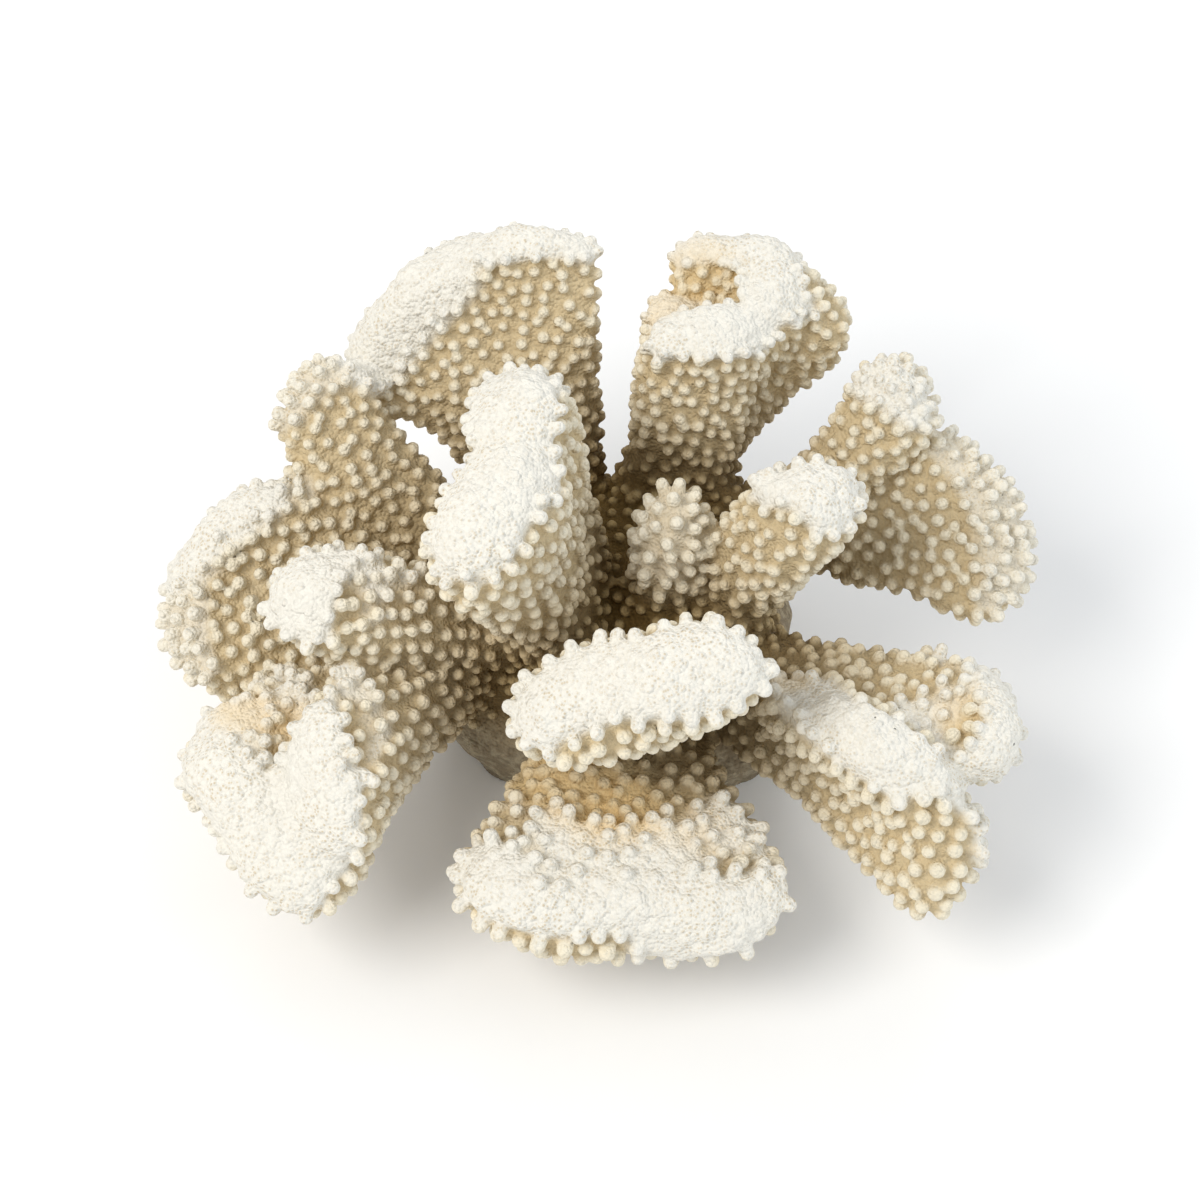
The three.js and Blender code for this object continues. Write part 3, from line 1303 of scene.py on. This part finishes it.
@dataclass
class Lamp:
    """A soft square light."""

    name: str
    place: tuple[float, float, float]
    size: float
    watts: float
    colour: tuple[float, float, float]

    def build(self, target: Vector) -> bpy.types.Object:
        """Hangs the lamp, aimed at a target.

        Args:
            target: What it lights.

        Returns:
            The lamp.
        """
        light = bpy.data.lights.new(self.name, "AREA")
        light.shape = "SQUARE"
        light.size = self.size
        light.energy = self.watts
        light.color = self.colour
        lamp = bpy.data.objects.new(self.name, light)
        lamp.location = self.place
        lamp.rotation_euler = (target - lamp.location).to_track_quat("-Z", "Y").to_euler()
        bpy.context.scene.collection.objects.link(lamp)
        return lamp


@dataclass
class Studio:
    """Floor, soft lights and the camera."""

    target: Vector = field(default_factory=lambda: Vector((-5.0, -6.0, 40.0)) * MM)
    distance: float = 540.0 * MM
    elevation: float = math.radians(52.0)
    lens: float = 77.76
    floor_size: float = 4.0

    def build(self) -> None:
        """Sets everything up."""
        self._floor()
        self._camera()
        self._world()
        for lamp in (
            Lamp("key", (-0.45, -0.35, 0.75), 0.45, 5.0, (1.0, 0.965, 0.91)),
            Lamp("fill", (0.75, -0.25, 0.45), 0.6, 2.2, (0.86, 0.93, 1.0)),
            Lamp("back", (0.1, 0.75, 0.6), 0.5, 2.0, (1.0, 1.0, 1.0)),
        ):
            lamp.build(self.target)

    def _floor(self) -> None:
        """Lays the plain pale floor."""
        half = self.floor_size / 2
        mesh = bpy.data.meshes.new("floor")
        corners = [(-half, -half, 0), (half, -half, 0), (half, half, 0), (-half, half, 0)]
        mesh.from_pydata(corners, [], [(0, 1, 2, 3)])
        board = NodeBoard("floor_paper")
        tone = board.mix(board.clouds(30.0 * MM), Tint(0.91, 0.91, 0.91), Tint(0.93, 0.93, 0.93))
        board.feed(board.shader.inputs["Base Color"], tone)
        board.shader.inputs["Roughness"].default_value = 0.9
        mesh.materials.append(board.material)
        floor = bpy.data.objects.new("floor", mesh)
        bpy.context.scene.collection.objects.link(floor)

    def _camera(self) -> None:
        """Stands the camera in front, looking down on the coral."""
        data = bpy.data.cameras.new("camera")
        data.lens = self.lens
        data.sensor_width = 36.0
        camera = bpy.data.objects.new("camera", data)
        back = Vector((0.0, -math.cos(self.elevation), math.sin(self.elevation)))
        camera.location = self.target + self.distance * back
        camera.rotation_euler = (-back).to_track_quat("-Z", "Y").to_euler()
        bpy.context.scene.collection.objects.link(camera)
        bpy.context.scene.camera = camera

    def _world(self) -> None:
        """Fills the room with soft white light."""
        world = bpy.data.worlds.new("room")
        world.use_nodes = True
        background = world.node_tree.nodes["Background"]
        background.inputs["Color"].default_value = (0.95, 0.975, 1.0, 1.0)
        background.inputs["Strength"].default_value = 0.6
        bpy.context.scene.world = world
        bpy.context.scene.view_settings.view_transform = "Standard"


def main() -> None:
    """Builds the coral and its studio."""
    logging.basicConfig(level=logging.INFO, format="%(name)s: %(message)s")
    Studio().build()
    colony = Colony()
    skin = colony.grow()
    pieces = PieceMaker(skin, colony.branches).build(CoralFinish().material())
    for piece in pieces:
        log.info("built %s", piece.name)


if __name__ == "__main__":
    main()
